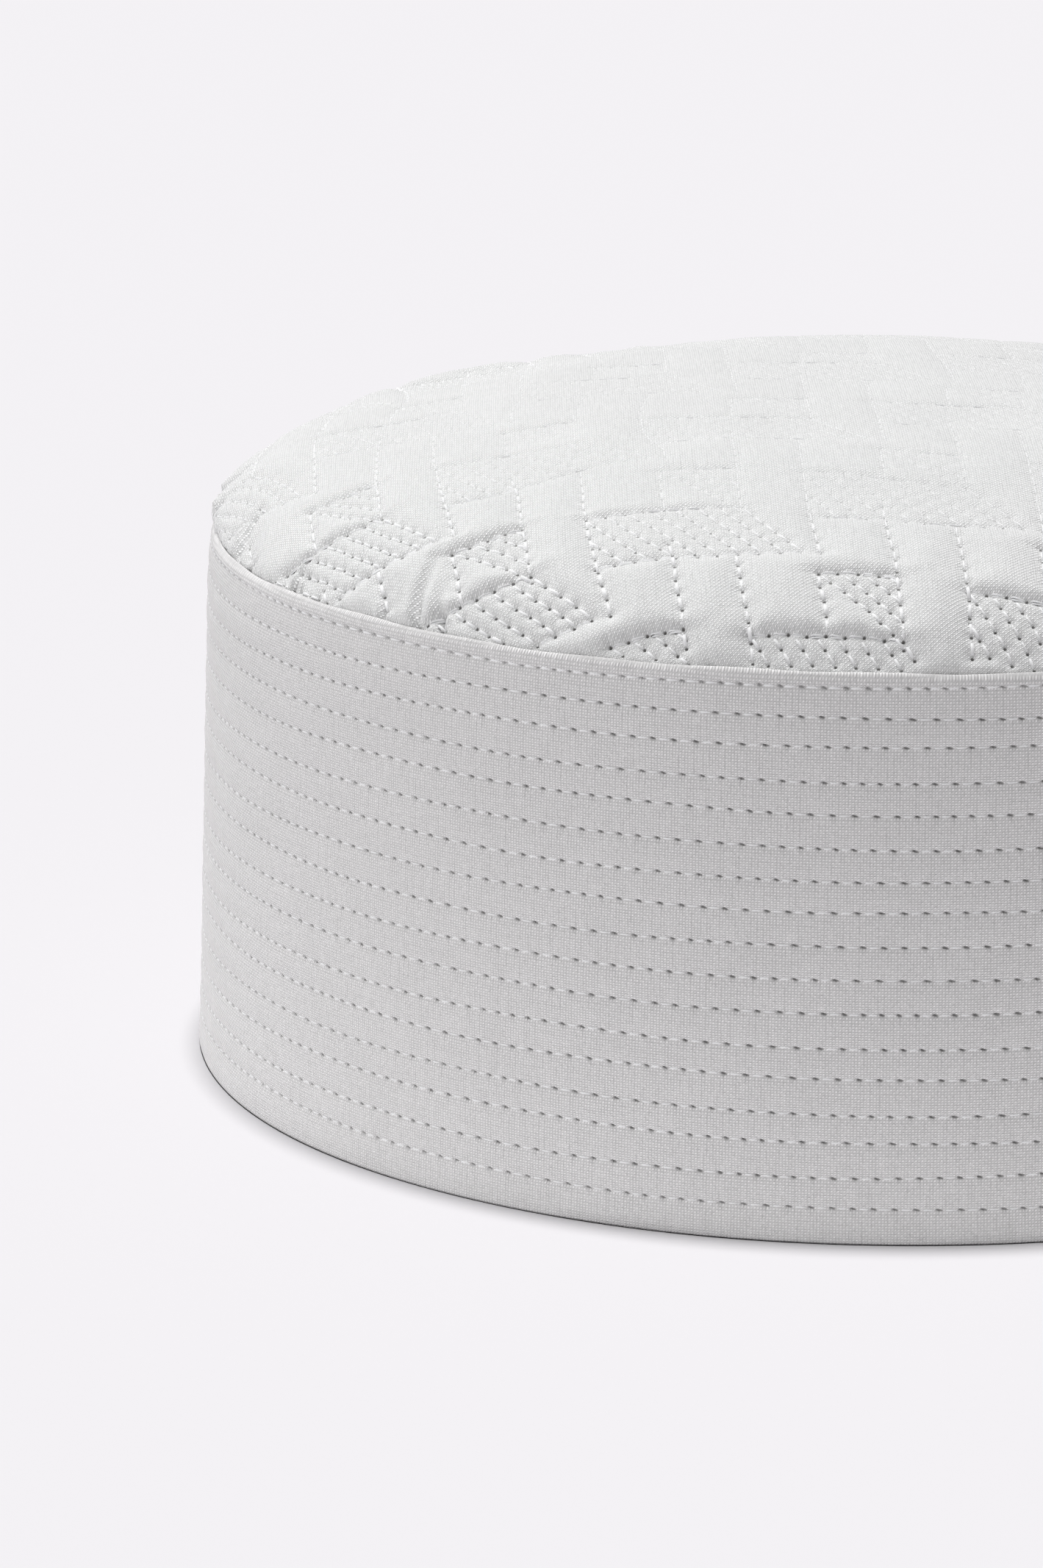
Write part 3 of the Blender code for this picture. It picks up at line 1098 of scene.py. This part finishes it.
def make_band_cloth(sizes, material):
    """The band: sewn rows outside, a rounded fold over the seam slot, and a plainer inner face."""
    rings = band_rings(sizes)
    last = len(ROW_HEIGHTS) - 1
    top_places = row_places(last)
    points, cloth, rows, ring_ids = [], [], [], []

    def put(place, inset, height, row):
        bearing = 2 * math.pi * place - math.pi
        height = height + 0 * place
        start = sum(len(ring) for ring in ring_ids)
        points.append(on_band(bearing, inset, height))
        cloth.append(np.stack((place * BAND_LENGTH, (height - inset) / MM), axis=1))
        columns = np.arange(len(place)) if len(place) == ROW_STITCHES else all_columns()
        rows.append(np.stack((columns, row + 0 * place), axis=1))
        ring_ids.append(list(range(start, start + len(place))))

    foot_places = rings[0][0]
    inner_places = np.arange(ROW_STITCHES) / ROW_STITCHES
    for turn in (0.0, math.pi / 6, math.pi / 3):
        round_in = FOOT_ROUND * (1 - math.sin(turn))
        put(foot_places, round_in, FOOT_ROUND * (1 - math.cos(turn)), -0.5)
    for place, height, inward, row in rings:
        put(place, inward, height, row)
    sway = 0.00012 * np.sin(2 * math.pi * 9 * top_places) + 0.00008 * np.sin(2 * math.pi * 31 * top_places)
    for inset, height in FOLD_SECTION:
        strays = row_shift(last, top_places) * (1 - smooth_step((height - 69.7) / 1.3))
        away = min((height - ROW_HEIGHTS[last]) / ROW_GAP, 0.5)
        put(top_places, inset * MM, height * MM + sway + strays, last + away)
    put(top_places, OUTER_CLOTH, 69.3 * MM, last + 0.5)
    put(top_places, OUTER_CLOTH, SLOT_FLOOR, last + 0.5)
    put(inner_places, SLOT_INNER, SLOT_FLOOR, last + 0.5)
    put(inner_places, SLOT_INNER, 69.3 * MM, last + 0.5)
    for turn in np.radians((0, 45, 90, 135, 180)):
        radius = INNER_CLOTH / 2
        inset = SLOT_INNER + radius - radius * math.cos(turn)
        put(inner_places, inset, BAND_HEIGHT - radius + radius * math.sin(turn), last + 0.4)
    for row in range(last, -1, -1):
        centre = ROW_HEIGHTS[row] * MM
        put(inner_places, WALL - 0.0002, centre, row)
        put(inner_places, WALL, centre - 0.7 * MM, row - 0.7 / ROW_GAP)
        put(inner_places, WALL + 0.0001, centre - 2.0 * MM, row - 2.0 / ROW_GAP)
    for turn in np.radians((90, 60, 30, 0)):
        inset = WALL - FOOT_ROUND * (1 - math.sin(turn))
        put(inner_places, inset, FOOT_ROUND * (1 - math.cos(turn)), -0.5)
    faces = []
    for first, second in zip(ring_ids, ring_ids[1:] + ring_ids[:1]):
        if len(first) >= len(second):
            faces += bridge(first, second)
        else:
            faces += [face[::-1] for face in bridge(second, first)]
    charts = {
        "cloth": (np.concatenate(cloth), BAND_LENGTH),
        "rows": (np.concatenate(rows), ROW_STITCHES),
    }
    return add_mesh("band_cloth", np.concatenate(points), faces, charts, {}, material)


def on_crown(quilting, flat):
    """Points of the crown's top at these flat points, with their outward leans and the marks of the painted
    shade in their needle holes.
    """
    place, lean, bearing, reach, drop = crown_frame(flat)
    height, hole = quilting.relief(flat)
    height = height - GATHER_SHARE * gathers(bearing, reach, drop) - creases(bearing, reach, drop)
    height = height + side_fullness(bearing, drop)
    return place + lean * height[:, None], lean, hole


def under_crown(quilting, flat):
    """Points of the crown's underside."""
    place, lean, bearing, reach, drop = crown_frame(flat)
    height, hole = quilting.relief(flat)
    cloth = CROWN_EDGE + (CROWN_CLOTH - CROWN_EDGE) * smooth_step(drop / CROWN_SWELL)
    sink = GATHER_SHARE * gathers(bearing, reach, drop) + 0.5 * creases(bearing, reach, drop)
    sink = sink + cloth + 0.4 * height - side_fullness(bearing, drop)
    # Painted needle-hole shade on the underside, weaker than on the top
    return place - lean * sink[:, None], hole * 0.6


def make_crown_cloth(quilting, material):
    """The crown: a finely quilted top, its gathered edge down in the band's seam, and its underside."""
    top_flat, top_faces = triangulated(quilting.mesh_points())
    low_flat, low_faces = triangulated(quilting.lining_points())
    top_points, _, top_hole_shade = on_crown(quilting, top_flat)
    low_points, low_hole_shade = under_crown(quilting, low_flat)
    top_rim = rim_order(top_flat)
    low_rim = rim_order(low_flat) + len(top_flat)
    turn = np.linspace(-math.pi, math.pi, len(low_rim), endpoint=False)
    edge = np.full(len(turn), HIDDEN_EDGE)
    outer_edge = on_band(turn, EDGE_INSET, edge)
    inner_edge = on_band(turn, EDGE_INSET + CROWN_EDGE, edge)
    first = len(top_flat) + len(low_flat)
    outer_ids = np.arange(first, first + len(turn))
    inner_ids = outer_ids + len(turn)
    points = np.concatenate((top_points, low_points, outer_edge, inner_edge))
    faces = list(top_faces)
    faces += [face[::-1] for face in low_faces + len(top_flat)]
    edges = bridge(list(top_rim), list(outer_ids))
    edges += bridge(list(outer_ids), list(inner_ids))
    edges += bridge(list(inner_ids), list(low_rim))
    faces += [face[::-1] for face in edges]
    rims = np.stack((np.sin(turn), -np.cos(turn)), axis=1) * (FLAT_RADIUS + 6.0)
    flat = np.concatenate((top_flat, low_flat, rims, rims))
    # The 'hole' mark carries the painted shade inside the needle holes
    holes = np.concatenate((top_hole_shade, low_hole_shade, np.zeros(2 * len(turn))))
    return add_mesh("crown_cloth", points, faces, {"cloth": (flat, None)}, {"hole": holes}, material)


def length_property(name, description, default):
    return FloatProperty(
        name=name, description=description, default=default, subtype="DISTANCE", unit="LENGTH"
    )


def weave_property(name, description, default):
    return FloatVectorProperty(
        name=name, description=description, default=default, size=2, subtype="XYZ", unit="LENGTH"
    )


def colour_property(name, description, default):
    return FloatVectorProperty(name=name, description=description, default=default, size=3, subtype="COLOR")


class CapSizes(bpy.types.PropertyGroup):
    """Sizes of the cap's stitching and padding"""

    stitch_length: length_property("Stitch length", "Length of one stitch on the crown", 0.0025)
    thread: length_property("Thread", "Thickness of the sewing thread", 0.00030)
    channel_depth: length_property(
        "Channel depth", "How far the band's stitched rows draw the cloth in", 0.00014
    )
    hole_depth: length_property("Hole depth", "Depth of the dimple at a needle hole", 0.00035)
    crown_puff: length_property(
        "Crown puff", "How high the crown's plain cloth swells between its quilted lines", 0.0006
    )
    patch_puff: length_property(
        "Patch puff", "How high the cloth swells beside a single stitched line", 0.00065
    )
    overhang: length_property("Overhang", "How far the plain cloth sags over the patch below it", 0.00048)
    band_weave: weave_property(
        "Band weave", "Distance between the band's upright and between its level threads", (0.00040, 0.00034)
    )
    crown_weave: weave_property(
        "Crown weave", "Distance between the threads of the crown's cloth, both ways", (0.00031, 0.00032)
    )
    thread_sides: IntProperty(
        name="Thread sides",
        description="Sides of the thread's round section",
        default=5,
        min=3,
        max=8,
    )


class CapColours(bpy.types.PropertyGroup):
    """Colours of the cap's cloths, its thread and the floor"""

    band: colour_property("Band", "The band's cotton", (0.80, 0.79, 0.79))
    crown: colour_property("Crown", "The crown's cotton", (0.89, 0.89, 0.89))
    thread: colour_property("Thread", "The sewing thread", (0.92, 0.92, 0.93))
    # Painted shade: the dark colour mixed into the cloth inside the needle holes
    hole: colour_property("Needle hole", "The shade inside a needle hole", (0.12, 0.115, 0.11))
    floor: colour_property(
        "Floor", "The studio floor, before its lamp makes it pale", (0.1448, 0.1421, 0.1461)
    )


class CAP_OT_band_cloth(bpy.types.Operator):
    """Makes the band's cloth with its sewn rows"""

    bl_idname = "cap.band_cloth"
    bl_label = "Band cloth"

    def execute(self, context):
        sizes = context.scene.cap_sizes
        colours = context.scene.cap_colours
        weave = [pitch / MM for pitch in sizes.band_weave]
        cotton = woven_cotton(
            "band_cotton", colours.band, colours.hole, weave, 0.5, 0.15, 0.52, 0.0002, row_hole_shade
        )
        band = make_band_cloth(sizes, cotton)
        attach(band, "root")
        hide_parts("band")
        return {"FINISHED"}


class CAP_OT_band_stitches(bpy.types.Operator):
    """Sews the rows round the band"""

    bl_idname = "cap.band_stitches"
    bl_label = "Band stitches"

    def execute(self, context):
        sizes = context.scene.cap_sizes
        starts, ends, outward = [], [], []
        weights = []
        for row, height in enumerate(ROW_HEIGHTS):
            top = row + 1 == len(ROW_HEIGHTS)
            place = row_places(row)[:: len(COLUMN_STEPS)]
            bearing = 2 * math.pi * place - math.pi
            level = height * MM + row_shift(row, place)
            holes = on_band(bearing, sizes.channel_depth + leans_in(level), level)
            way = np.roll(holes, -1, axis=0) - holes
            begin, finish = TOP_ROW_THREAD if top else BAND_THREAD
            starts.append(holes + way * begin)
            ends.append(holes + way * finish)
            weights.append(np.full(len(holes), 1.25 if top else 1.0))
            middle = (holes + way / 2) * (1 / BAND_WIDTH**2, 1 / BAND_DEPTH**2, 0)
            outward.append(middle / np.linalg.norm(middle, axis=1)[:, None])
        thread = sewing_thread("cotton_thread", context.scene.cap_colours.thread)
        stitches = sew(
            "band_stitches",
            np.concatenate(starts),
            np.concatenate(ends),
            np.concatenate(outward),
            np.concatenate(weights),
            thread,
            {
                "Thickness": sizes.thread,
                "Lift": 0.00004,
                "Dip": 0.00025,
                "Sink": 0.0002,
                "Unevenness": 0.12,
                "Sides": sizes.thread_sides,
                "Seed": 3,
            },
        )
        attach(stitches, "root")
        return {"FINISHED"}


class CAP_OT_crown(bpy.types.Operator):
    """Makes the quilted crown and sews its lines"""

    bl_idname = "cap.crown"
    bl_label = "Crown"

    def execute(self, context):
        sizes = context.scene.cap_sizes
        colours = context.scene.cap_colours
        quilting = Quilting(sizes)
        weave = [pitch / MM for pitch in sizes.crown_weave]
        cotton = woven_cotton(
            "crown_cotton", colours.crown, colours.hole, weave, 0.2, 0.35, 0.65, 0.00022, marked_hole_shade
        )
        crown = make_crown_cloth(quilting, cotton)
        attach(crown, "root")
        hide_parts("crown")
        stitches = self.sew_lines(quilting, sizes)
        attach(stitches, "root")
        return {"FINISHED"}

    def sew_lines(self, quilting, sizes):
        way = quilting.ends - quilting.starts
        side = np.stack((-way[:, 1], way[:, 0]), axis=1) / np.linalg.norm(way, axis=1)[:, None]
        begin = quilting.starts + CROWN_THREAD[0] * way
        finish = quilting.starts + CROWN_THREAD[1] * way
        double = quilting.doubles
        starts = [begin[~double]]
        ends = [finish[~double]]
        for offset in (-DOUBLE_OFFSET, DOUBLE_OFFSET):
            starts.append(begin[double] + offset * side[double])
            ends.append(finish[double] + offset * 0.6 * side[double])
        weights = quilting.thicknesses
        weights = np.concatenate((weights[~double], weights[double], weights[double]))
        starts, ends = np.concatenate(starts), np.concatenate(ends)
        weights = weights * (0.14 + 0.86 * quilting.slack(starts))
        start_points, lean, _ = on_crown(quilting, starts)
        end_points, _, _ = on_crown(quilting, ends)
        return sew(
            "crown_stitches",
            start_points,
            end_points,
            lean,
            weights,
            bpy.data.materials["cotton_thread"],
            {
                "Thickness": sizes.thread * 1.2,
                "Lift": 0.00013,
                "Dip": 0.0004,
                "Sink": 0.0,
                "Unevenness": 0.15,
                "Sides": sizes.thread_sides,
                "Seed": 5,
            },
        )


class CAP_OT_stage(bpy.types.Operator):
    """Sets up the pale floor, the soft studio light and the camera"""

    bl_idname = "cap.stage"
    bl_label = "Stage"

    def execute(self, context):
        scene = context.scene
        half = FLOOR_SIZE / 2
        corners = [(-half, -half, 0), (half, -half, 0), (half, half, 0), (-half, half, 0)]
        floor = add_mesh(
            "floor", corners, [(0, 1, 2, 3)], {}, {}, studio_floor("floor_card", scene.cap_colours.floor)
        )
        self.light_world(scene)
        pieces = bpy.data.collections.new("cap_pieces")
        for name in ("band_cloth", "band_stitches", "crown_cloth", "crown_stitches"):
            pieces.objects.link(bpy.data.objects[name])
        ground = bpy.data.collections.new("ground")
        ground.objects.link(floor)
        for lamps, lit in ((CAP_LAMPS, pieces), (FLOOR_LAMPS, ground)):
            for name, towards, strength, spread in lamps:
                self.add_sun(name, towards, strength, spread, lit)
        self.add_bounce(pieces)
        self.add_camera(scene)
        return {"FINISHED"}

    def light_world(self, scene):
        scene.world = bpy.data.worlds.new("studio")
        scene.world.use_nodes = True
        scene.world.node_tree.nodes.clear()
        tree = Tree(scene.world.node_tree)
        sky = {"Color": (1.0, 1.0, 1.0, 1.0), "Strength": SKY_STRENGTH}
        glow = tree.add("ShaderNodeBackground", None, sky)
        tree.add("ShaderNodeOutputWorld", None, {"Surface": glow})
        scene.view_settings.view_transform = "Standard"
        scene.view_settings.look = "None"

    def add_sun(self, name, towards, strength, spread, lit):
        """A soft light that falls on the objects of one collection."""
        data = bpy.data.lights.new(name, "SUN")
        data.energy = strength
        data.angle = math.radians(spread)
        light = bpy.data.objects.new(name, data)
        light.rotation_euler = Vector(towards).to_track_quat("Z", "Y").to_euler()
        light.light_linking.receiver_collection = lit
        bpy.context.scene.collection.objects.link(light)

    def add_bounce(self, lit):
        """The light that the pale table close round the cap throws up on the band."""
        data = bpy.data.lights.new("bounce", "AREA")
        data.shape = "DISK"
        data.size = BOUNCE_WIDTH
        data.energy = BOUNCE_POWER
        light = bpy.data.objects.new("bounce", data)
        light.location = (0.0, 0.0, 0.0003)
        light.rotation_euler = (math.pi, 0.0, 0.0)
        light.visible_camera = False
        light.light_linking.receiver_collection = lit
        bpy.context.scene.collection.objects.link(light)

    def add_camera(self, scene):
        data = bpy.data.cameras.new("camera")
        data.lens = CAMERA_LENS
        data.sensor_width = 36.0
        data.clip_start = 0.01
        camera = bpy.data.objects.new("camera", data)
        camera.location = CAMERA_PLACE
        camera.rotation_euler = (math.radians(90 - CAMERA_FALL), 0.0, 0.0)
        scene.collection.objects.link(camera)
        scene.camera = camera


class CAP_PT_pieces(bpy.types.Panel):
    """The cap's sizes, colours and pieces"""

    bl_idname = "CAP_PT_pieces"
    bl_label = "Prayer cap"
    bl_space_type = "VIEW_3D"
    bl_region_type = "UI"
    bl_category = "Cap"

    def draw(self, context):
        for group in (context.scene.cap_sizes, context.scene.cap_colours):
            box = self.layout.box()
            for name in type(group).__annotations__:
                box.prop(group, name)
        for operator in OPERATORS:
            self.layout.operator(operator.bl_idname)


OPERATORS = (CAP_OT_band_cloth, CAP_OT_band_stitches, CAP_OT_crown, CAP_OT_stage)
CLASSES = (CapSizes, CapColours, *OPERATORS, CAP_PT_pieces)


def register():
    for one in CLASSES:
        bpy.utils.register_class(one)
    bpy.types.Scene.cap_sizes = PointerProperty(type=CapSizes)
    bpy.types.Scene.cap_colours = PointerProperty(type=CapColours)


def unregister():
    del bpy.types.Scene.cap_colours
    del bpy.types.Scene.cap_sizes
    for one in reversed(CLASSES):
        bpy.utils.unregister_class(one)


def main():
    register()
    bpy.ops.cap.band_cloth()
    bpy.ops.cap.band_stitches()
    bpy.ops.cap.crown()
    bpy.ops.cap.stage()


if __name__ == "__main__":
    main()
